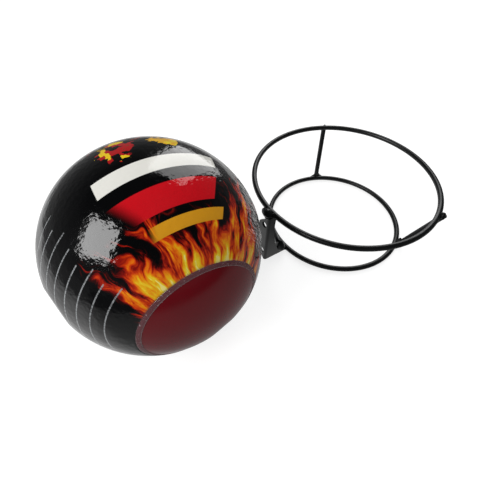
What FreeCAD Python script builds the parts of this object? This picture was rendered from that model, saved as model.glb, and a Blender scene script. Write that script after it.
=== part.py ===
import FreeCAD, Part
import math
import os

# Fire extinguishing ball with its wire wall holder, side by side on one floor.
# Millimetres, +Z up. The ball lies at -X with its polar axis close to Y, and the holder stands at +X on its
# lower ring, with its wall plate towards the ball. The origin is on the floor, below the middle of the pair.

# Ball
ball_diameter = 110.0
film_thickness = 0.25
film_opening_diameter = 57.5
shell_wall = 5.0
rebate_width = 1.5
rebate_height = 2.0
glue_gap = 0.05
powder_gap = 0.1

# Fuse cord in the seam of the shell, and the charge in the middle of the powder
fuse_diameter = 2.6
fuse_clearance = 0.2
charge_diameter = 16.0
charge_length = 30.0
tube_wall = 1.2
plug_thickness = 4.0

# Wire holder
wire_diameter = 3.6
upper_ring_diameter = 125.8
lower_ring_diameter = 97.2
ring_spacing = 40.0
weld_sink = 0.6
strut_foot_drop = 0.8

# Each strut: the angle round the holder of its foot and of its head, and how far its tip passes the upper ring
wall_foot_angle = 180.0
wall_head_angle = 177.5
wall_tip_rise = 0.5
front_foot_angle = -61.0
front_head_angle = -65.0
front_tip_rise = 0.8
back_foot_angle = 64.0
back_head_angle = 61.5
back_tip_rise = -0.6

# Wall plate, folded from sheet: a web across the rings and a flange against the wall
sheet_thickness = 1.5
fold_inner_radius = 0.3
web_clearance = 1.6
wall_clearance = 0.1
flange_width = 9.5
plate_top_inset = 1.4
web_foot_length = 7.0
web_foot_height = 3.0
web_under_upper_ring = 1.2
corner_chamfer = 7.9
screw_hole_diameter = 4.5
screw_hole_spacing = 25.0
screw_hole_from_fold = 4.1

# Place of the ball beside the holder, and its turn about +Z
ball_to_wall_plate = 14.9
ball_turn_angle = 1.8

ball_radius = ball_diameter / 2
shell_outer = ball_radius - film_thickness
shell_inner = shell_outer - shell_wall
rebate_radius = shell_inner + rebate_width
fuse_radius = fuse_diameter / 2
fuse_groove_radius = fuse_radius + fuse_clearance
fuse_ring_radius = shell_outer - fuse_radius
charge_radius = charge_diameter / 2
tube_radius = charge_radius + tube_wall
tube_length = charge_length + 2 * plug_thickness

wire_radius = wire_diameter / 2
upper_ring_radius = upper_ring_diameter / 2
lower_ring_radius = lower_ring_diameter / 2
lower_ring_height = wire_radius
upper_ring_height = lower_ring_height + ring_spacing
weld_distance = wire_diameter - weld_sink

# The struts lean outwards. The web stands beside the wall strut, and the wall face clears that strut's tip.
lean = (upper_ring_radius - lower_ring_radius) / ring_spacing
wall_tip_reach = upper_ring_radius + weld_distance + lean * wall_tip_rise + wire_radius / math.hypot(1, lean)
wall_distance = wall_tip_reach + wall_clearance
web_offset = wire_radius + web_clearance + sheet_thickness

pair_length = ball_diameter + ball_to_wall_plate + wall_distance + upper_ring_radius + wire_radius
ball_centre = FreeCAD.Vector(ball_radius - pair_length / 2, 0, ball_radius)
holder_centre = FreeCAD.Vector(pair_length / 2 - upper_ring_radius - wire_radius, 0, 0)

origin = FreeCAD.Vector(0, 0, 0)
x_axis = FreeCAD.Vector(1, 0, 0)
y_axis = FreeCAD.Vector(0, 1, 0)
z_axis = FreeCAD.Vector(0, 0, 1)
full_turn = 360.0


def flat(x, y):
    """A point of a profile in the XY plane."""
    return FreeCAD.Vector(x, y, 0)


def line(start, end):
    return Part.LineSegment(start, end).toShape()


def arc(start, middle, end):
    return Part.Arc(start, middle, end).toShape()


def face_of(edges):
    return Part.Face(Part.Wire(edges))


def turned(edges):
    """The solid that a profile sweeps round the ball's polar axis."""
    return face_of(edges).revolve(origin, y_axis, full_turn)


def on_circle(radius, height):
    """The profile point of a sphere at a height along the polar axis."""
    return flat(math.sqrt(radius ** 2 - height ** 2), height)


def midway(radius, side):
    """A profile point half way between pole and equator."""
    return flat(radius * math.sin(math.pi / 4), side * radius * math.cos(math.pi / 4))


def cylinder(radius, start, end):
    return Part.makeCylinder(radius, (end - start).Length, start, end - start)


def lead_path(radius):
    """Rods along Z from the middle of the ball to the fuse ring, up and down."""
    return [cylinder(radius, origin, z_axis * (side * fuse_ring_radius)) for side in (1, -1)]


def shell_half(side, step_radius, step_height):
    """Half of the foam shell: the side is -1 at the front and 1 at the back.

    The seam steps along the inner wall, and its outer corner carries half of the groove of the fuse ring.
    """
    groove = fuse_groove_radius
    groove_floor = flat(fuse_ring_radius - groove, 0)
    groove_bend = flat(
        fuse_ring_radius - groove * math.cos(math.pi / 4),
        side * groove * math.sin(math.pi / 4),
    )
    groove_side = flat(fuse_ring_radius, side * groove)
    outer_corner = on_circle(shell_outer, side * groove)
    inner_corner = on_circle(shell_inner, step_height)
    outer_pole = flat(0, side * shell_outer)
    inner_pole = flat(0, side * shell_inner)
    edges = [
        arc(outer_pole, midway(shell_outer, side), outer_corner),
        line(outer_corner, groove_side),
        arc(groove_side, groove_bend, groove_floor),
        line(groove_floor, flat(step_radius, 0)),
        line(flat(step_radius, 0), flat(step_radius, step_height)),
        line(flat(step_radius, step_height), inner_corner),
        arc(inner_corner, midway(shell_inner, side), inner_pole),
        line(inner_pole, outer_pole),
    ]
    shell = turned(edges)
    for path in lead_path(fuse_groove_radius):
        shell = shell.cut(path)
    return shell


def shell_front():
    return shell_half(-1, rebate_radius, rebate_height)


def shell_back():
    return shell_half(1, rebate_radius + glue_gap, rebate_height + glue_gap)


def print_film():
    """The shrink film: a thin band round the ball, open at both poles."""
    opening = film_opening_diameter / 2
    edge_height = math.sqrt(ball_radius ** 2 - opening ** 2)
    shrink = shell_outer / ball_radius
    outer_front = flat(opening, -edge_height)
    outer_back = flat(opening, edge_height)
    inner_front = flat(opening * shrink, -edge_height * shrink)
    inner_back = flat(opening * shrink, edge_height * shrink)
    return turned([
        arc(outer_front, flat(ball_radius, 0), outer_back),
        line(outer_back, inner_back),
        arc(inner_back, flat(shell_outer, 0), inner_front),
        line(inner_front, outer_front),
    ])


def fuse_ring():
    return Part.makeTorus(fuse_ring_radius, fuse_radius, origin, y_axis)


def fuse_lead(path):
    """A cord from the charge to the fuse ring, shaped to both."""
    return path.cut(fuse_ring()).cut(charge_body())


def charge_rod(radius, length):
    """A rod along the polar axis, centred on the ball."""
    return cylinder(radius, y_axis * (-length / 2), y_axis * (length / 2))


def charge_body():
    return charge_rod(charge_radius, charge_length)


def charge_tube():
    tube = charge_rod(tube_radius, tube_length).cut(charge_rod(charge_radius, tube_length))
    for path in lead_path(fuse_radius):
        tube = tube.cut(path)
    return tube


def charge_plug(side):
    inner_end = y_axis * (side * charge_length / 2)
    return cylinder(charge_radius, inner_end, inner_end + y_axis * (side * plug_thickness))


def powder_fill():
    powder = Part.makeSphere(shell_inner - powder_gap, origin, y_axis)
    powder = powder.cut(charge_rod(tube_radius, tube_length))
    for path in lead_path(fuse_radius):
        powder = powder.cut(path)
    return powder


def upper_ring():
    return Part.makeTorus(upper_ring_radius, wire_radius, z_axis * upper_ring_height, z_axis)


def lower_ring():
    return Part.makeTorus(lower_ring_radius, wire_radius, z_axis * lower_ring_height, z_axis)


def weld_point(ring_radius, height, angle):
    """The point of a strut's middle line outside a ring, at an angle round the holder."""
    turn = math.radians(angle)
    distance = ring_radius + weld_distance
    return FreeCAD.Vector(distance * math.cos(turn), distance * math.sin(turn), height)


def strut(foot_angle, head_angle, tip_rise):
    """A straight wire outside both rings, notched where it is welded to them."""
    foot = weld_point(lower_ring_radius, lower_ring_height, foot_angle)
    head = weld_point(upper_ring_radius, upper_ring_height, head_angle)
    rise = (head - foot) / ring_spacing
    wire = cylinder(wire_radius, foot - rise * strut_foot_drop, head + rise * tip_rise)
    return wire.cut(lower_ring()).cut(upper_ring())


def wall_plate():
    """Sheet folded to an L: its web seats on both rings, and its flange takes the wall screws."""
    web_face = -web_offset
    web_end = wire_radius - weld_distance - lower_ring_radius
    flange_edge = web_face + flange_width
    top = upper_ring_height - plate_top_inset
    plate = plate_section(web_end, web_face, flange_edge).extrude(z_axis * top)
    plate = plate.cut(web_recess(web_face, top))
    for height, side in ((0, -1), (top, 1)):
        plate = plate.cut(flange_corner(flange_edge, height, side))
    for height in (top / 2 - screw_hole_spacing / 2, top / 2 + screw_hole_spacing / 2):
        centre = FreeCAD.Vector(-wall_distance, web_face + screw_hole_from_fold, height)
        plate = plate.cut(cylinder(screw_hole_diameter / 2, centre, centre + x_axis * sheet_thickness))
    return plate.cut(lower_ring()).cut(upper_ring())


def plate_section(web_end, web_face, flange_edge):
    """The folded sheet seen from above: the web, the fold and the flange."""
    web_inner = web_face + sheet_thickness
    wall_face = -wall_distance
    flange_inner = wall_face + sheet_thickness
    outer_bend = fold_inner_radius + sheet_thickness
    fold = flat(wall_face + outer_bend, web_face + outer_bend)
    diagonal = flat(-math.cos(math.pi / 4), -math.sin(math.pi / 4))
    return face_of([
        line(flat(web_end, web_face), flat(fold.x, web_face)),
        arc(flat(fold.x, web_face), fold + diagonal * outer_bend, flat(wall_face, fold.y)),
        line(flat(wall_face, fold.y), flat(wall_face, flange_edge)),
        line(flat(wall_face, flange_edge), flat(flange_inner, flange_edge)),
        line(flat(flange_inner, flange_edge), flat(flange_inner, fold.y)),
        arc(flat(flange_inner, fold.y), fold + diagonal * fold_inner_radius, flat(fold.x, web_inner)),
        line(flat(fold.x, web_inner), flat(web_end, web_inner)),
        line(flat(web_end, web_inner), flat(web_end, web_face)),
    ])


def web_recess(web_face, top):
    """What is cut off the web above its foot, so that its inner edge clears a ball in the holder.

    The edge is an arc about the holder's middle, from the end of the foot to a point under the upper ring.
    """
    low = lower_ring_radius + web_foot_length
    high = upper_ring_radius - web_under_upper_ring
    rise = top - web_foot_height
    centre_height = (high ** 2 + top ** 2 - low ** 2 - web_foot_height ** 2) / (2 * rise)
    radius = math.hypot(high, top - centre_height)
    centre = FreeCAD.Vector(0, web_face, centre_height)
    recess = Part.makeCylinder(radius, sheet_thickness, centre, y_axis)
    corner = FreeCAD.Vector(-radius, web_face, web_foot_height)
    above_foot = Part.makeBox(radius, sheet_thickness, rise, corner)
    return recess.common(above_foot)


def flange_corner(flange_edge, height, side):
    """The corner cut off the flange at its bottom (side -1) or top (side 1)."""
    start = FreeCAD.Vector(-wall_distance, flange_edge, height)
    corners = [
        start,
        start - y_axis * corner_chamfer,
        start - z_axis * (side * corner_chamfer),
    ]
    corner = Part.Face(Part.makePolygon(corners + corners[:1]))
    return corner.extrude(x_axis * sheet_thickness)


def write(name, shape, turn, place):
    """Turns a piece about +Z, moves it to its place in the pair and writes it."""
    placed = shape.copy()
    placed.rotate(origin, z_axis, turn)
    placed.translate(place)
    placed.exportStep("parts/" + name + ".step")
    print(name, len(placed.Solids), round(placed.Volume, 2), placed.isValid())


os.makedirs("parts", exist_ok=True)

lead_up, lead_down = lead_path(fuse_radius)
ball_pieces = {
    "shell_front": shell_front(),
    "shell_back": shell_back(),
    "print_film": print_film(),
    "powder_fill": powder_fill(),
    "charge_tube": charge_tube(),
    "charge_plug_front": charge_plug(-1),
    "charge_plug_back": charge_plug(1),
    "burst_charge": charge_body(),
    "fuse_ring": fuse_ring(),
    "fuse_lead_upper": fuse_lead(lead_up),
    "fuse_lead_lower": fuse_lead(lead_down),
}
holder_pieces = {
    "upper_ring": upper_ring(),
    "lower_ring": lower_ring(),
    "wall_plate": wall_plate(),
    "strut_wall": strut(wall_foot_angle, wall_head_angle, wall_tip_rise),
    "strut_front": strut(front_foot_angle, front_head_angle, front_tip_rise),
    "strut_back": strut(back_foot_angle, back_head_angle, back_tip_rise),
}

for name, shape in ball_pieces.items():
    write(name, shape, ball_turn_angle, ball_centre)
for name, shape in holder_pieces.items():
    write(name, shape, 0, holder_centre)
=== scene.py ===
import math

import bmesh
import bpy
from mathutils import Matrix, Vector, noise


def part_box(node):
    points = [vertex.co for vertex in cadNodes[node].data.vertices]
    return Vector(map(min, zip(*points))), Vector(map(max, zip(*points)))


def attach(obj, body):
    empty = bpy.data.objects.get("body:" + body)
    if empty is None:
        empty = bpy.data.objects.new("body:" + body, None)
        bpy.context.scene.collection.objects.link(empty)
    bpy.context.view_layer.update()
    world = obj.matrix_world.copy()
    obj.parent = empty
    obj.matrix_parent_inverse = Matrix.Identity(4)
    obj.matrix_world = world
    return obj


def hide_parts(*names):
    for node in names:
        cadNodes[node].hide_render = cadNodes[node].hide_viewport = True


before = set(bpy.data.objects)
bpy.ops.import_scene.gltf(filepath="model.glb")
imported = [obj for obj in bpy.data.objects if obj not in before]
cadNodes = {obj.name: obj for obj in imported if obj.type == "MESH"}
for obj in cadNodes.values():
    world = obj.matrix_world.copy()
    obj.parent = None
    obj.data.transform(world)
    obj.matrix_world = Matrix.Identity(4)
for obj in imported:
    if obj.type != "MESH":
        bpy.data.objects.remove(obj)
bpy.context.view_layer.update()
mm = 0.001
print("frame loaded")


# Camera, at the angle of the product picture
cameraSettings = {
    "place": (-101.32, -120.25, 197.40),  # mm
    "yaw": -33.648,  # degrees from +Y, anticlockwise from above
    "pitch": 49.714,  # degrees below the horizon
    "roll": -1.860,
    "lens": 26.25,
    "sensor": 36.0,
    "shift": 0.00104,  # share of the picture's width
    "clip": (0.01, 50),  # m
}


def makeCamera(settings):
    yaw, pitch, roll = (math.radians(settings[name]) for name in ("yaw", "pitch", "roll"))
    forward = Vector((
        -math.sin(yaw) * math.cos(pitch), math.cos(yaw) * math.cos(pitch), -math.sin(pitch),
    ))
    level = Vector((math.cos(yaw), math.sin(yaw), 0))
    down = forward.cross(level)
    right = math.cos(roll) * level + math.sin(roll) * down
    up = math.sin(roll) * level - math.cos(roll) * down
    data = bpy.data.cameras.new("productCamera")
    data.lens = settings["lens"]
    data.sensor_width = settings["sensor"]
    data.shift_x, data.shift_y = -settings["shift"], settings["shift"]
    data.clip_start, data.clip_end = settings["clip"]
    camera = bpy.data.objects.new("productCamera", data)
    turn = Matrix((right, up, -forward)).transposed().to_4x4()
    camera.matrix_world = Matrix.Translation(Vector(settings["place"]) * mm) @ turn
    bpy.context.scene.collection.objects.link(camera)
    bpy.context.scene.camera = camera


makeCamera(cameraSettings)
bpy.context.scene.view_settings.view_transform = "Standard"
print("camera placed")


# Helpers for node materials
plasticIor = 1.5


def newMaterial(name):
    material = bpy.data.materials.new(name)
    material.use_nodes = True
    return material, material.node_tree, material.node_tree.nodes["Principled BSDF"]


def feed(tree, socket, value):
    if isinstance(value, bpy.types.NodeSocket):
        tree.links.new(value, socket)
    else:
        socket.default_value = value


def addNode(tree, kind, inputs=None, **settings):
    made = tree.nodes.new("ShaderNode" + kind)
    for name, value in settings.items():
        setattr(made, name, value)
    for name, value in (inputs or {}).items():
        feed(tree, made.inputs[name], value)
    return made


def setShader(tree, shader, **values):
    for name, value in values.items():
        feed(tree, shader.inputs[name.replace("_", " ")], value)


def opaque(colour):
    return (*colour, 1.0)


def calc(tree, operation, first, second=0.0, third=0.0):
    return addNode(tree, "Math", {0: first, 1: second, 2: third}, operation=operation).outputs[0]


def centred(tree, value, gain):
    # a grain's value, which lies about 0.5, made to swing about 0
    return calc(tree, "MULTIPLY_ADD", value, gain, -gain / 2)


def ramp(tree, value, fromLow, fromHigh, toLow=0.0, toHigh=1.0, smooth=True):
    inputs = {
        "Value": value,
        "From Min": fromLow,
        "From Max": fromHigh,
        "To Min": toLow,
        "To Max": toHigh,
    }
    style = "SMOOTHSTEP" if smooth else "LINEAR"
    return addNode(tree, "MapRange", inputs, interpolation_type=style).outputs["Result"]


def between(tree, value, low, high, soft):
    rising = ramp(tree, value, low - soft, low + soft)
    falling = ramp(tree, value, high - soft, high + soft, 1.0, 0.0)
    return calc(tree, "MULTIPLY", rising, falling)


def blendColour(tree, share, first, second):
    # inputs 6 and 7 and output 2 are the Mix node's sockets for colours
    made = addNode(tree, "Mix", {0: share, 6: first, 7: second}, data_type="RGBA")
    return made.outputs[2]


def blendValue(tree, share, first, second):
    # inputs 2 and 3 and output 0 are the Mix node's sockets for single values
    made = addNode(tree, "Mix", {0: share, 2: first, 3: second}, data_type="FLOAT")
    return made.outputs[0]


def colourSteps(tree, value, steps):
    made = addNode(tree, "ValToRGB", {0: value})
    elements = made.color_ramp.elements
    while len(elements) < len(steps):
        elements.new(0.5)
    for element, (place, colour) in zip(elements, steps):
        element.position = place
        element.color = opaque(colour)
    return made.outputs["Color"]


def objectPoint(tree):
    return addNode(tree, "TexCoord").outputs["Object"]


def combine(tree, x, y, z=0.0):
    return addNode(tree, "CombineXYZ", {0: x, 1: y, 2: z}).outputs[0]


def split(tree, point):
    return addNode(tree, "SeparateXYZ", {0: point}).outputs


def grain(tree, point, scale, detail=2.0, roughness=0.5, distortion=0.0):
    inputs = {
        "Vector": point,
        "Scale": scale,
        "Detail": detail,
        "Roughness": roughness,
        "Distortion": distortion,
    }
    return addNode(tree, "TexNoise", inputs).outputs["Fac"]


def roundGrain(tree, longitude, polar, across, along, seed=0.0, **settings):
    # grain that closes round the ball: across and along are its steps for each degree
    turn = calc(tree, "RADIANS", longitude)
    reach = math.degrees(across)
    x = calc(tree, "MULTIPLY", calc(tree, "COSINE", turn), reach)
    y = calc(tree, "MULTIPLY", calc(tree, "SINE", turn), reach)
    z = calc(tree, "MULTIPLY_ADD", polar, along, seed)
    return grain(tree, combine(tree, x, y, z), 1.0, **settings)


def bump(tree, height, depth, under=None):
    inputs = {"Height": height, "Distance": depth * mm}
    if under is not None:
        inputs["Normal"] = under
    return addNode(tree, "Bump", inputs).outputs["Normal"]


# Helpers for pieces
mergeDistance = 0.001  # mm


def finishPiece(name, bm, material, replaced=()):
    mesh = bpy.data.meshes.new(name)
    bm.to_mesh(mesh)
    bm.free()
    mesh.polygons.foreach_set("use_smooth", [True] * len(mesh.polygons))
    piece = bpy.data.objects.new(name, mesh)
    bpy.context.scene.collection.objects.link(piece)
    mesh.materials.append(material)
    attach(piece, "root")
    if replaced:
        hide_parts(*replaced)
    return piece


def spinVertex(bm, vertex, centre, degrees, steps):
    made = bmesh.ops.spin(
        bm, geom=[vertex], cent=centre, axis=(0, 0, 1), angle=math.radians(degrees), steps=steps,
    )
    return [item for item in made["geom_last"] if isinstance(item, bmesh.types.BMVert)][0]


def lineTo(bm, vertex, x, y):
    made = bmesh.ops.extrude_vert_indiv(bm, verts=[vertex])["verts"][0]
    made.co = (x, y, 0)
    return made


def spinProfile(bm, steps):
    bmesh.ops.spin(
        bm, geom=bm.verts[:] + bm.edges[:], cent=(0, 0, 0), axis=(0, 1, 0),
        angle=math.tau, steps=steps, use_merge=True,
    )
    bmesh.ops.remove_doubles(bm, verts=bm.verts, dist=mergeDistance * mm)
    bmesh.ops.recalc_face_normals(bm, faces=bm.faces)


def coat(node, material):
    piece = cadNodes[node]
    piece.data.materials.clear()
    piece.data.materials.append(material)


# The ball: its place comes from the frame, and its polar axis lies close to Y. Polar angles count
# from the front pole and longitudes from the top towards +X, both in degrees.
ball = {
    "turn": 1.8,  # degrees about +Z
    "flatRim": 0.08,  # mm of depth in which a flat's edge eases in
    "flats": (  # polar angle, longitude and half width, where the shell was knocked
        (80, -88, 10.5),
        (22, 155, 7.5),
        (96, -58, 6.0),
        (118, -150, 8.0),
        (70, 140, 7.0),
        (131, 75, 6.5),
    ),
}

crinkle = {
    "allOver": 0.03,  # mm
    "allOverScale": 16,
    "pleats": 0.30,  # mm
    "pleatPolar": (44, 108, 10),  # from, to and fade
    "pleatLongitude": (44, 120, 16),
    "pleatSteps": (0.035, 0.42),  # noise steps for each degree of longitude and polar angle
    "pleatSeed": 3.0,
    "pleatGain": 1.6,
    "bend": 1.6,
    "bendScale": 4.0,
    "seed": 8,  # the bend's noise would follow the clock without one
}
noise.seed_set(crinkle["seed"])

filmLow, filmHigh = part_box("print_film")
ballCentre = (filmLow + filmHigh) / 2
ballRadius = (filmHigh.z - filmLow.z) / 2
ballTurn = Matrix.Rotation(math.radians(ball["turn"]), 3, "Z")


def direction(polar, longitude):
    p, t = math.radians(polar), math.radians(longitude)
    return Vector((math.sin(p) * math.sin(t), -math.cos(p), math.sin(p) * math.cos(t)))


def polarOf(unit):
    return math.degrees(math.acos(max(-1, min(1, -unit.y))))


def longitudeOf(unit):
    return math.degrees(math.atan2(unit.x, unit.z))


flatAxes = [
    (direction(polar, longitude), math.cos(math.radians(halfWidth)))
    for polar, longitude, halfWidth in ball["flats"]
]


def flatDepth(unit):
    depth = 0.0
    for axis, edge in flatAxes:
        near = unit.dot(axis)
        if near > edge:
            sunk = ballRadius * (1 - edge / near)
            depth = max(depth, sunk * sunk / (sunk + ball["flatRim"] * mm))
    return depth


def inside(value, low, high, fade):
    rise = min(1, max(0, (value - low) / fade))
    fall = min(1, max(0, (high - value) / fade))
    return rise * fall


def crinkleDepth(unit):
    polar, longitude = polarOf(unit), longitudeOf(unit)
    pleated = inside(polar, *crinkle["pleatPolar"]) * inside(longitude, *crinkle["pleatLongitude"])
    across, along = crinkle["pleatSteps"]
    place = Vector((longitude * across, polar * along, crinkle["pleatSeed"]))
    bend = crinkle["bend"] * noise.noise_vector(unit * crinkle["bendScale"])
    pleat = abs(noise.noise(place + bend)) * crinkle["pleatGain"]
    fine = 0.5 + 0.5 * noise.noise(unit * crinkle["allOverScale"])
    return (crinkle["pleats"] * pleated * min(1, pleat) + crinkle["allOver"] * fine) * mm


def settle(bm, wallOuter, wallInner, crinkled):
    # flats fade to nothing through the wall, so its inner face stays round
    for vertex in bm.verts:
        reach = vertex.co.length
        unit = vertex.co / reach
        share = min(1, max(0, (reach - wallInner) / (wallOuter - wallInner)))
        depth = flatDepth(unit) * share
        if crinkled:
            depth += crinkleDepth(unit)
        vertex.co = unit * (reach - depth)


def placeBall(bm):
    for vertex in bm.verts:
        vertex.co = ballTurn @ vertex.co + ballCentre


def unwrapLabel(bm):
    # longitude and polar angle, each scaled to 0..1; a face across the map's seam runs past 1
    layer = bm.loops.layers.uv.new("labelMap")
    for face in bm.faces:
        spots = []
        for loop in face.loops:
            unit = loop.vert.co.normalized()
            spots.append((longitudeOf(unit) / 360 + 0.5, polarOf(unit) / 180))
        crosses = max(spot[0] for spot in spots) - min(spot[0] for spot in spots) > 0.5
        for loop, (across, along) in zip(face.loops, spots):
            if crosses and across < 0.5:
                across += 1
            loop[layer].uv = (across, along)


# Shrink film: a printed band and a clear margin at each opening
film = {
    "thickness": 0.2,  # mm
    "printEdge": 33.9,  # polar angle of the print's edge
    "freeEdge": 31.5,  # and of the clear margin's edge
    "around": 256,
    "stepsEachDegree": 1.07,
    "fewestSteps": 4,
    "smearScale": 55.0,
    "roughness": (0.07, 0.14),
    "waveScale": 400.0,
    "waveDepth": 0.16,  # mm
    "pleatDepth": 2.6,  # mm
    "pleatPolar": (46.0, 112.0, 6.0),  # from, to and half of the fade
    "pleatLongitude": (52.0, 118.0, 8.0),
    "pleatGrain": {"across": 0.09, "along": 0.36, "detail": 1.0, "distortion": 0.8},
}

margin = {
    "colour": (0.19, 0.075, 0.085),
    # colour of the specks and of the painted highlight along the free edge
    "light": (0.55, 0.45, 0.47),
    "speckScale": 1100.0,
    "specks": (0.62, 0.74),
    "edgeHighlight": (0.40, 0.12),  # degrees from the free edge where the painted highlight along it begins and where it is full
    "edgeHighlightShare": 0.45,
    "waveScale": 420.0,
    "waveDepth": 0.03,  # mm
    "roughness": 0.12,
    "alpha": 0.5,
}

label = {
    "black": (0.0016, 0.0017, 0.0020),
    "sideSoft": 0.12,  # softness of the bands' sides and ends, degrees
    "endSoft": 0.3,
    "redBand": {
        "polar": (61.3, 73.0),
        "longitude": (-11.0, 29.0),
        "lean": (-0.5, 0.55),
        "fade": 9.0,
        "colour": (0.56, 0.006, 0.012),
    },
    "amberBand": {
        "polar": (51.9, 57.5),
        "longitude": (-8.5, 29.0),
        "lean": (0.35, 0.45),
        "fade": 5.0,
        "colour": (0.66, 0.30, 0.012),
    },
    "whiteStripe": {
        "polar": (79.6, 88.2),
        "longitude": (-21.5, 37.0),
        "lean": (0.1, 0.3),
        "fade": 0.4,
        "colour": (0.74, 0.73, 0.68),
    },
    "fineLines": {
        "first": 47.1,
        "pitch": 6.7,
        "polar": (43.5, 97.5, 0.3),
        "longitude": (-101.0, -41.0, 0.4),
        "halfWidth": 0.36,
        "edge": (0.4, 1.2),  # shares of the half width between which a line's side fades
        "ragged": 7.0,  # degrees by which the lines' ends differ
        "raggedStep": 0.618,
        "worn": {"across": 1.3, "along": 0.9, "detail": 1.0},
        "wornRange": (0.36, 0.56),
        "wornLeast": 0.35,
        "colour": (0.30, 0.31, 0.32),
    },
    "chipScale": 0.30,
    "chipRandomness": 0.9,
    "tornScale": 0.16,
    "tornReach": 3.4,
    "tornEdge": (0.92, 1.0),
    "chipFields": (
        {
            "middle": (104, -4),
            "half": (11, 9),
            "first": (0.36, 0.008, 0.010),
            "firstFrom": (0.37, 0.39),
            "second": (0.72, 0.50, 0.012),
            "secondBelow": (0.17, 0.15),
        },
        {
            "middle": (104, 20),
            "half": (7, 8),
            "first": (0.74, 0.40, 0.012),
            "firstFrom": (0.47, 0.49),
            "second": (0.78, 0.60, 0.015),
            "secondBelow": (0.22, 0.20),
        },
    ),
}

flame = {
    # longitude, how much hotter or cooler the print is there, and its tongues' height in degrees
    "zones": (
        (-180, -0.02, 26), (-150, -0.08, 22), (-122, -1.0, 12), (-66, -1.0, 8), (-54, -0.26, 13),
        (-42, 0.0, 21), (-24, 0.14, 21), (-8, 0.04, 26), (20, 0.06, 29), (40, 0.0, 34),
        (62, -0.08, 38), (84, -0.34, 30), (112, -1.0, 14), (148, -0.08, 22), (180, -0.02, 26),
    ),
    "colours": (
        (0.10, label["black"]),
        (0.22, (0.030, 0.0015, 0.0015)),
        (0.36, (0.25, 0.006, 0.003)),
        (0.50, (0.58, 0.040, 0.003)),
        (0.64, (0.78, 0.17, 0.004)),
        (0.80, (0.80, 0.42, 0.006)),
        (0.96, (0.84, 0.66, 0.035)),
        (1.00, (0.86, 0.74, 0.22)),
    ),
    "heatAtRoot": 0.72,
    "heatAlong": -0.60,  # change from a tongue's root to its tip
    "sway": {"across": 0.05, "along": 0.05},
    "swing": (12.0, 44.0),  # sideways swing at the edge and beyond swingRise, degrees
    "swingRise": 26.0,
    "tongues": {"across": 0.085, "along": 0.0, "seed": 4.0, "detail": 1.0},
    "tongueRange": (0.30, 0.68),
    "tongueHeight": (0.62, 1.35),
    "streaks": {"across": 0.17, "along": 0.055, "seed": 9.0, "distortion": 0.2},
    "streakGain": 1.7,
    "wisps": {
        "across": 0.40, "along": 0.16, "seed": 21.0,
        "detail": 4.0, "roughness": 0.62, "distortion": 0.5,
    },
    "wispGain": 1.0,
}


def labelDegrees(tree):
    point = addNode(tree, "UVMap", uv_map="labelMap").outputs["UV"]
    parts = split(tree, point)
    longitude = calc(tree, "MULTIPLY_ADD", parts["X"], 360.0, -180.0)
    polar = calc(tree, "MULTIPLY", parts["Y"], 180.0)
    return longitude, polar


def zoneValue(tree, place, column, low, high):
    # a colour ramp holds 0..1 only, so the values are scaled into it and back
    span = high - low
    steps = [((zone[0] + 180) / 360, ((zone[column] - low) / span,) * 3) for zone in flame["zones"]]
    return calc(tree, "MULTIPLY_ADD", colourSteps(tree, place, steps), span, low)


def flames(tree, longitude, polar):
    fromFront = calc(tree, "SUBTRACT", polar, film["printEdge"])
    fromBack = calc(tree, "SUBTRACT", 180.0 - film["printEdge"], polar)
    rise = calc(tree, "MINIMUM", fromFront, fromBack)
    place = ramp(tree, longitude, -180.0, 180.0, smooth=False)
    zone = zoneValue(tree, place, 1, -1.0, 1.0)
    height = zoneValue(tree, place, 2, 0.0, 50.0)
    sway = roundGrain(tree, longitude, polar, **flame["sway"])
    reach = ramp(tree, rise, 0.0, flame["swingRise"], *flame["swing"])
    swing = calc(tree, "MULTIPLY", calc(tree, "SUBTRACT", sway, 0.5), reach)
    swayed = calc(tree, "ADD", longitude, swing)
    tall = roundGrain(tree, swayed, 0.0, **flame["tongues"])
    tall = ramp(tree, tall, *flame["tongueRange"], *flame["tongueHeight"])
    share = calc(tree, "DIVIDE", rise, calc(tree, "MULTIPLY", height, tall))
    streaks = roundGrain(tree, swayed, polar, **flame["streaks"])
    wisps = roundGrain(tree, swayed, polar, **flame["wisps"])
    heat = calc(tree, "MULTIPLY_ADD", share, flame["heatAlong"], flame["heatAtRoot"])
    heat = calc(tree, "ADD", heat, centred(tree, streaks, flame["streakGain"]))
    heat = calc(tree, "ADD", heat, centred(tree, wisps, flame["wispGain"]))
    return colourSteps(tree, calc(tree, "ADD", heat, zone), flame["colours"])


def bareBand(tree, colour, longitude, polar, band):
    low, high = band["polar"]
    left, right = band["longitude"]
    endSoft = label["endSoft"]
    offset = calc(tree, "SUBTRACT", polar, (low + high) / 2)
    fromLeft = calc(tree, "MULTIPLY_ADD", offset, -band["lean"][0], longitude)
    fromRight = calc(tree, "MULTIPLY_ADD", offset, -band["lean"][1], longitude)
    across = between(tree, polar, low, high, label["sideSoft"])
    start = ramp(tree, fromLeft, left - band["fade"], left)
    end = ramp(tree, fromRight, right - endSoft, right + endSoft, 1.0, 0.0)
    share = calc(tree, "MULTIPLY", across, calc(tree, "MULTIPLY", start, end))
    return blendColour(tree, share, colour, opaque(band["colour"]))


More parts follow.
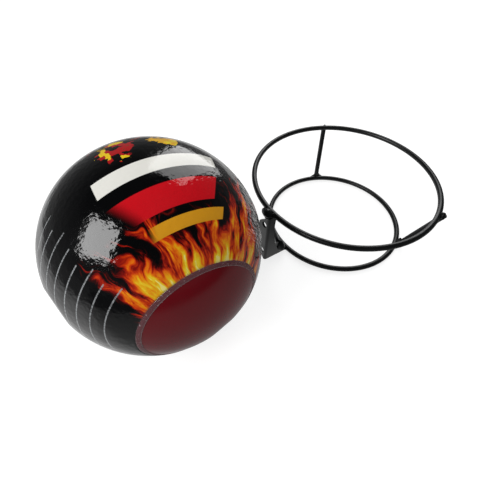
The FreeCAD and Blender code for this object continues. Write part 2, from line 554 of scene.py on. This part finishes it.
def fineLines(tree, colour, longitude, polar):
    lines = label["fineLines"]
    row = calc(tree, "DIVIDE", calc(tree, "SUBTRACT", polar, lines["first"]), lines["pitch"])
    place = calc(tree, "MULTIPLY", calc(tree, "PINGPONG", row, 0.5), lines["pitch"])
    core, side = (lines["halfWidth"] * share for share in lines["edge"])
    line = ramp(tree, place, core, side, 1.0, 0.0)
    step = calc(tree, "MULTIPLY", calc(tree, "ROUND", row), lines["raggedStep"])
    start = calc(tree, "MULTIPLY_ADD", calc(tree, "FRACT", step), lines["ragged"], longitude)
    shown = between(tree, start, *lines["longitude"])
    shown = calc(tree, "MULTIPLY", shown, between(tree, polar, *lines["polar"]))
    worn = roundGrain(tree, longitude, polar, **lines["worn"])
    kept = ramp(tree, worn, *lines["wornRange"], lines["wornLeast"], 1.0)
    share = calc(tree, "MULTIPLY", calc(tree, "MULTIPLY", shown, kept), line)
    return blendColour(tree, share, colour, opaque(lines["colour"]))


def chips(tree, colour, longitude, polar, field):
    point = combine(tree, longitude, polar)
    inputs = {"Vector": point, "Scale": label["chipScale"], "Randomness": label["chipRandomness"]}
    cells = addNode(tree, "TexVoronoi", inputs, distance="CHEBYCHEV")
    kind = split(tree, cells.outputs["Color"])["X"]
    middleAlong, middleAcross = field["middle"]
    halfAlong, halfAcross = field["half"]
    along = calc(tree, "DIVIDE", calc(tree, "SUBTRACT", polar, middleAlong), halfAlong)
    across = calc(tree, "DIVIDE", calc(tree, "SUBTRACT", longitude, middleAcross), halfAcross)
    away = calc(tree, "MULTIPLY_ADD", along, along, calc(tree, "MULTIPLY", across, across))
    torn = grain(tree, point, label["tornScale"])
    away = calc(tree, "ADD", away, centred(tree, torn, label["tornReach"]))
    area = ramp(tree, away, *label["tornEdge"], 1.0, 0.0)
    firstShare = calc(tree, "MULTIPLY", area, ramp(tree, kind, *field["firstFrom"]))
    secondShare = calc(tree, "MULTIPLY", area, ramp(tree, kind, *field["secondBelow"]))
    colour = blendColour(tree, firstShare, colour, opaque(field["first"]))
    return blendColour(tree, secondShare, colour, opaque(field["second"]))


def filmMaterial():
    material, tree, shader = newMaterial("printedShrinkFilm")
    longitude, polar = labelDegrees(tree)
    colour = flames(tree, longitude, polar)
    for band in ("redBand", "amberBand", "whiteStripe"):
        colour = bareBand(tree, colour, longitude, polar, label[band])
    colour = fineLines(tree, colour, longitude, polar)
    for field in label["chipFields"]:
        colour = chips(tree, colour, longitude, polar, field)
    point = objectPoint(tree)
    smear = grain(tree, point, film["smearScale"], 3.0, 0.6)
    waves = bump(tree, grain(tree, point, film["waveScale"]), film["waveDepth"])
    pleatsAlong = between(tree, polar, *film["pleatPolar"])
    pleatsAcross = between(tree, longitude, *film["pleatLongitude"])
    pleatArea = calc(tree, "MULTIPLY", pleatsAlong, pleatsAcross)
    pleats = roundGrain(tree, longitude, polar, **film["pleatGrain"])
    folds = calc(tree, "ABSOLUTE", calc(tree, "SUBTRACT", pleats, 0.5))
    folds = calc(tree, "MULTIPLY", folds, pleatArea)
    setShader(
        tree, shader, IOR=plasticIor, Base_Color=colour,
        Roughness=ramp(tree, smear, 0.3, 0.7, *film["roughness"]),
        Normal=bump(tree, folds, film["pleatDepth"], waves),
    )
    return material


def marginMaterial():
    material, tree, shader = newMaterial("clearFilmMargin")
    point = objectPoint(tree)
    polar = labelDegrees(tree)[1]
    fromMiddle = calc(tree, "ABSOLUTE", calc(tree, "SUBTRACT", polar, 90.0))
    # painted highlight: the margin turns lighter in a thin line along its free edge
    begin, full = (90.0 - film["freeEdge"] - inset for inset in margin["edgeHighlight"])
    edge = ramp(tree, fromMiddle, begin, full, 0.0, margin["edgeHighlightShare"])
    specks = ramp(tree, grain(tree, point, margin["speckScale"]), *margin["specks"])
    share = calc(tree, "MAXIMUM", specks, edge)
    waves = grain(tree, point, margin["waveScale"], 3.0)
    setShader(
        tree, shader, IOR=plasticIor, Roughness=margin["roughness"], Alpha=margin["alpha"],
        Base_Color=blendColour(tree, share, opaque(margin["colour"]), opaque(margin["light"])),
        Normal=bump(tree, waves, margin["waveDepth"]),
    )
    return material


def makeFilmBand(name, start, end, material):
    bm = bmesh.new()
    vertex = bm.verts.new(direction(start, 90) * ballRadius)
    steps = max(film["fewestSteps"], round((end - start) * film["stepsEachDegree"]))
    spinVertex(bm, vertex, (0, 0, 0), end - start, steps)
    spinProfile(bm, film["around"])
    settle(bm, ballRadius, ballRadius - mm, True)
    bm.faces.ensure_lookup_table()
    bm.normal_update()
    if bm.faces[0].normal.dot(bm.faces[0].calc_center_median()) < 0:
        bmesh.ops.reverse_faces(bm, faces=bm.faces)
    unwrapLabel(bm)
    placeBall(bm)
    piece = finishPiece(name, bm, material, ["print_film"])
    wall = piece.modifiers.new("wall", "SOLIDIFY")
    wall.thickness = film["thickness"] * mm
    wall.offset = -1


printMaterial = filmMaterial()
clearMaterial = marginMaterial()
makeFilmBand("printedFilm", film["printEdge"], 180 - film["printEdge"], printMaterial)
makeFilmBand("clearMarginFront", film["freeEdge"], film["printEdge"], clearMaterial)
makeFilmBand("clearMarginBack", 180 - film["printEdge"], 180 - film["freeEdge"], clearMaterial)
print("film made")


# Foam shell, two halves with a stepped seam; sizes in mm
shell = {
    "outer": 54.75,
    "inner": 49.75,
    "seamStep": 51.25,
    "seamHeight": 2.0,
    "grooveCentre": 53.45,
    "groove": 1.5,
    "around": 192,
    "outerSteps": 64,
    "grooveSteps": 6,
    "innerSteps": 32,
    "colours": ((0.35, (0.132, 0.0006, 0.0044)), (0.7, (0.160, 0.0016, 0.0068))),
    "cloudScale": 26.0,
    "smearScale": 90.0,
    "roughness": (0.13, 0.20),
    "swellScale": 60.0,
    "swellDepth": 0.10,
    "poreScale": 900.0,
    "poreDepth": 0.004,
}


def foamMaterial():
    material, tree, shader = newMaterial("redFoam")
    point = objectPoint(tree)
    cloud = grain(tree, point, shell["cloudScale"], 4.0, 0.6)
    smear = grain(tree, point, shell["smearScale"], 3.0)
    swell = bump(tree, grain(tree, point, shell["swellScale"]), shell["swellDepth"])
    pores = grain(tree, point, shell["poreScale"])
    setShader(
        tree, shader, IOR=plasticIor, Base_Color=colourSteps(tree, cloud, shell["colours"]),
        Roughness=ramp(tree, smear, 0.3, 0.7, *shell["roughness"]),
        Normal=bump(tree, pores, shell["poreDepth"], swell),
    )
    return material


def makeShellHalf(name, side, node, material):
    outer, inner = shell["outer"] * mm, shell["inner"] * mm
    centre, groove = shell["grooveCentre"] * mm, shell["groove"] * mm
    step, height = shell["seamStep"] * mm, shell["seamHeight"] * mm
    bm = bmesh.new()
    vertex = bm.verts.new((0, side * outer, 0))
    turn = math.degrees(math.acos(groove / outer))
    vertex = spinVertex(bm, vertex, (0, 0, 0), -side * turn, shell["outerSteps"])
    vertex = lineTo(bm, vertex, centre, side * groove)
    vertex = spinVertex(bm, vertex, (centre, 0, 0), side * 90, shell["grooveSteps"])
    vertex = lineTo(bm, vertex, step, 0)
    vertex = lineTo(bm, vertex, step, height)
    vertex = lineTo(bm, vertex, math.sqrt(inner ** 2 - height ** 2), height)
    turn = math.degrees(math.acos(side * height / inner))
    spinVertex(bm, vertex, (0, 0, 0), side * turn, shell["innerSteps"])
    spinProfile(bm, shell["around"])
    settle(bm, outer, inner, False)
    placeBall(bm)
    finishPiece(name, bm, material, [node])


foam = foamMaterial()
makeShellHalf("foamShellFront", -1, "shell_front", foam)
makeShellHalf("foamShellBack", 1, "shell_back", foam)
print("shell made")


# Powder, charge and fuse, inside the ball; depths in mm
insideLooks = {
    "dryPowder": {
        "dark": (0.74, 0.69, 0.52),
        "light": (0.88, 0.84, 0.70),
        "scale": 1400.0,
        "roughness": 0.95,
        "depth": 0.05,
        "nodes": ("powder_fill",),
    },
    "woundPaper": {
        "dark": (0.46, 0.32, 0.18),
        "light": (0.60, 0.45, 0.28),
        "scale": 420.0,
        "roughness": 0.8,
        "depth": 0.03,
        "nodes": ("charge_tube", "charge_plug_front", "charge_plug_back"),
    },
    "chargeGrains": {
        "dark": (0.03, 0.03, 0.032),
        "light": (0.12, 0.12, 0.12),
        "scale": 1100.0,
        "roughness": 0.7,
        "depth": 0.12,
        "nodes": ("burst_charge",),
    },
    "wovenFuseCord": {
        "dark": (0.20, 0.18, 0.14),
        "light": (0.42, 0.39, 0.32),
        "scale": 260.0,
        "roughness": 0.85,
        "depth": 0.15,
        "weave": 1.5,
        "nodes": ("fuse_ring", "fuse_lead_upper", "fuse_lead_lower"),
    },
}


def insideMaterial(name, look):
    material, tree, shader = newMaterial(name)
    point = objectPoint(tree)
    if "weave" in look:
        inputs = {"Vector": point, "Scale": look["scale"], "Distortion": look["weave"]}
        texture = addNode(tree, "TexWave", inputs, bands_direction="DIAGONAL").outputs["Fac"]
        steps = [(0.2, look["dark"]), (0.8, look["light"])]
    else:
        texture = grain(tree, point, look["scale"], 4.0, 0.65)
        steps = [(0.3, look["dark"]), (0.7, look["light"])]
    setShader(
        tree, shader, Roughness=look["roughness"], Base_Color=colourSteps(tree, texture, steps),
        Normal=bump(tree, texture, look["depth"]),
    )
    return material


for name, look in insideLooks.items():
    material = insideMaterial(name, look)
    for node in look["nodes"]:
        coat(node, material)
print("inner pieces coated")


# Wire holder
holder = {
    "nodes": ("upper_ring", "lower_ring", "strut_wall", "strut_front", "strut_back", "wall_plate"),
    "colour": (0.0035, 0.0042, 0.0045),
    "lighter": 1.6,  # the cloudy coat's light places, as a multiple of its colour
    "cloudScale": 70.0,
    "roughness": (0.28, 0.37),
    "smearScale": 160.0,
    "shine": 0.36,
    "peelScale": 1500.0,
    "peelDepth": 0.008,  # mm
    "swellScale": 320.0,
    "swellDepth": 0.025,  # mm
}

# Weld beads, in mm and degrees
bead = {
    "segments": (28, 14),
    "uneven": 0.05,
    "unevenSize": 1.2,
    "seedStep": 7.3,
    "floorRoom": 1.6,  # how far a bead may reach below the lower ring's middle
    # ring, angle round the holder, half sizes along the ring, upwards and outwards, how far the
    # bead's middle lies outside the ring's wire line and above it, and how far its outline draws
    # in between its four arms
    "places": (
        ("upper_ring", 180.2, (5.0, 3.0, 3.0), 2.9, 0.0, 0.6),
        ("upper_ring", -65.0, (4.0, 3.2, 1.9), 2.5, -0.3, 1.0),
        ("upper_ring", 61.5, (2.5, 2.4, 1.2), 1.7, -0.4, 1.0),
        ("lower_ring", 180.0, (3.6, 4.4, 1.7), 2.2, 0.0, 1.2),
        ("lower_ring", -61.0, (5.0, 5.8, 1.8), 2.2, 0.0, 1.4),
        ("lower_ring", 64.0, (5.2, 6.4, 1.8), 2.2, 0.0, 1.5),
        ("upper_ring", 183.7, (2.4, 2.3, 1.2), 1.6, 0.0, 1.0),
        ("lower_ring", 184.7, (2.4, 2.6, 1.4), 1.8, 0.0, 1.0),
        ("lower_ring", 183.6, (4.4, 5.8, 3.1), 5.2, 3.6, 0.5),
    ),
}


def powderCoat():
    material, tree, shader = newMaterial("blackPowderCoat")
    point = objectPoint(tree)
    cloud = grain(tree, point, holder["cloudScale"], 3.0, 0.6)
    light = tuple(part * holder["lighter"] for part in holder["colour"])
    smear = grain(tree, point, holder["smearScale"])
    peel = bump(tree, grain(tree, point, holder["peelScale"]), holder["peelDepth"])
    swell = grain(tree, point, holder["swellScale"])
    setShader(
        tree, shader, IOR=plasticIor, Specular_IOR_Level=holder["shine"],
        Base_Color=colourSteps(tree, cloud, [(0.35, holder["colour"]), (0.75, light)]),
        Roughness=ramp(tree, smear, 0.3, 0.7, *holder["roughness"]),
        Normal=bump(tree, swell, holder["swellDepth"], peel),
    )
    return material


def addBead(bm, centre, outwards, half, waist, squeeze, seed):
    # a ball drawn out to four arms, with its lower half squeezed where the floor is near
    part = bmesh.new()
    segments, rings = bead["segments"]
    bmesh.ops.create_uvsphere(part, u_segments=segments, v_segments=rings, radius=1.0)
    across, upwards, thickness = (size * mm for size in half)
    for vertex in part.verts:
        x, y, z = vertex.co
        flat = math.hypot(x, y)
        pull = (flat / (abs(x) + abs(y))) ** waist if flat > 1e-6 else 1.0
        below = squeeze if y < 0 else 1.0
        vertex.co = (x * pull * across, y * pull * upwards * below, z * thickness)
        spot = vertex.co / (bead["unevenSize"] * mm) + Vector((seed, 0, 0))
        vertex.co *= 1 + bead["uneven"] * noise.noise(spot)
    along = Vector((0, 0, 1)).cross(outwards)
    turn = Matrix((along, Vector((0, 0, 1)), outwards)).transposed().to_4x4()
    bmesh.ops.transform(part, matrix=Matrix.Translation(centre) @ turn, verts=part.verts)
    bmesh.ops.recalc_face_normals(part, faces=part.faces)
    mesh = bpy.data.meshes.new("bead")
    part.to_mesh(mesh)
    part.free()
    bm.from_mesh(mesh)
    bpy.data.meshes.remove(mesh)


def makeWelds(material):
    bm = bmesh.new()
    for number, (ring, angle, half, out, up, waist) in enumerate(bead["places"]):
        low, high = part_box(ring)
        middle = (low + high) / 2
        radius = (high.x - low.x) / 2 - (high.z - low.z) / 2
        turn = math.radians(angle)
        outwards = Vector((math.cos(turn), math.sin(turn), 0))
        centre = middle + outwards * (radius + out * mm) + Vector((0, 0, up * mm))
        room = bead["floorRoom"] + up if ring == "lower_ring" else half[1]
        squeeze = min(1.0, room / half[1])
        addBead(bm, centre, outwards, half, waist, squeeze, number * bead["seedStep"])
    finishPiece("weldBeads", bm, material)


coatMaterial = powderCoat()
for node in holder["nodes"]:
    coat(node, coatMaterial)
makeWelds(coatMaterial)
print("holder coated and welded")


# Floor, lamps and surroundings; lengths in m
studio = {
    "floor": {
        "halfSize": 4.0,
        "drop": 0.0001,
        "colour": (0.38, 0.38, 0.38),
        "roughness": 0.9,
        "shine": 0.2,
        "glow": 0.76,  # added for the camera, so that the floor is white
    },
    # what gloss shows of the floor: its levels before and behind the pair and far from it, the
    # slant of the border between the first two, and where the levels change. The lower level before
    # the pair is a painted shadow.
    "mirroredWithPaintedShadow": {
        "front": 0.28,
        "behind": 0.75,
        "far": 0.22,
        "slant": -0.17,
        "border": (-0.045, 0.010),
        "reach": (0.26, 0.44),
    },
    # what gloss shows of the room, from its horizon up, and how much the room lights the rest
    "room": {
        "horizon": 0.12,
        "zenith": 0.02,
        "heights": (-0.05, 0.75),
        "ambient": 0.40,
    },
    "window": {
        "azimuth": 182.0,
        "elevation": 39.0,
        "away": 0.9,
        "size": (0.50, 0.50),
        "turn": 22.0,
        "power": 6.2,
    },
    "panel": {
        "azimuth": 41.0,
        "elevation": 30.0,
        "away": 1.0,
        "size": (0.58, 0.98),
        "turn": 0.0,
        "power": 5.4,
    },
}


def addLamp(name, settings):
    azimuth, elevation = math.radians(settings["azimuth"]), math.radians(settings["elevation"])
    towards = Vector((
        math.cos(azimuth) * math.cos(elevation),
        math.sin(azimuth) * math.cos(elevation),
        math.sin(elevation),
    ))
    data = bpy.data.lights.new(name, "AREA")
    data.shape = "RECTANGLE"
    data.size, data.size_y = settings["size"]
    data.energy = settings["power"]
    lamp = bpy.data.objects.new(name, data)
    facing = towards.to_track_quat("Z", "Y").to_matrix().to_4x4()
    turn = Matrix.Rotation(math.radians(settings["turn"]), 4, "Z")
    place = Matrix.Translation(ballCentre + towards * settings["away"])
    lamp.matrix_world = place @ facing @ turn
    bpy.context.scene.collection.objects.link(lamp)


def floorMaterial():
    material, tree, shader = newMaterial("paleFloor")
    look, mirroredWithPaintedShadow = studio["floor"], studio["mirroredWithPaintedShadow"]
    setShader(
        tree, shader, Base_Color=opaque(look["colour"]), Roughness=look["roughness"],
        Specular_IOR_Level=look["shine"],
    )
    path = addNode(tree, "LightPath").outputs
    seen = calc(tree, "MULTIPLY", path["Is Camera Ray"], look["glow"])
    glow = addNode(tree, "Emission", {"Strength": seen})
    lit = addNode(tree, "AddShader", {0: shader.outputs[0], 1: glow.outputs[0]})
    # gloss sees the floor as a glow with a painted shadow before the pair, and dimmer far from it
    point = objectPoint(tree)
    parts = split(tree, point)
    depth = calc(tree, "MULTIPLY_ADD", parts["X"], mirroredWithPaintedShadow["slant"], parts["Y"])
    near = ramp(tree, depth, *mirroredWithPaintedShadow["border"], mirroredWithPaintedShadow["front"], mirroredWithPaintedShadow["behind"])
    away = addNode(tree, "VectorMath", {0: point}, operation="LENGTH").outputs["Value"]
    fall = ramp(tree, away, *mirroredWithPaintedShadow["reach"], 1.0, mirroredWithPaintedShadow["far"])
    shown = addNode(tree, "Emission", {"Strength": calc(tree, "MULTIPLY", near, fall)})
    inputs = {0: path["Is Glossy Ray"], 1: lit.outputs[0], 2: shown.outputs[0]}
    mixed = addNode(tree, "MixShader", inputs)
    tree.links.new(mixed.outputs[0], tree.nodes["Material Output"].inputs["Surface"])
    return material


def makeFloor():
    look = studio["floor"]
    bm = bmesh.new()
    bmesh.ops.create_grid(bm, x_segments=1, y_segments=1, size=look["halfSize"])
    bmesh.ops.translate(bm, verts=bm.verts, vec=(0, 0, -look["drop"]))
    mesh = bpy.data.meshes.new("floor")
    bm.to_mesh(mesh)
    bm.free()
    mesh.materials.append(floorMaterial())
    floor = bpy.data.objects.new("floor", mesh)
    bpy.context.scene.collection.objects.link(floor)


def makeWorld():
    room = studio["room"]
    world = bpy.data.worlds.new("studioWorld")
    bpy.context.scene.world = world
    world.use_nodes = True
    tree = world.node_tree
    tree.nodes.clear()
    up = split(tree, addNode(tree, "TexCoord").outputs["Generated"])["Z"]
    seen = addNode(tree, "LightPath").outputs
    gradient = ramp(tree, up, *room["heights"], room["horizon"], room["zenith"])
    level = blendValue(tree, seen["Is Glossy Ray"], room["ambient"], gradient)
    strength = blendValue(tree, seen["Is Camera Ray"], level, 1.0)
    back = addNode(tree, "Background", {"Color": (1, 1, 1, 1), "Strength": strength})
    out = addNode(tree, "OutputWorld")
    tree.links.new(back.outputs[0], out.inputs["Surface"])


makeFloor()
makeWorld()
addLamp("windowLamp", studio["window"])
addLamp("panelLamp", studio["panel"])
print("stage and lamps made")
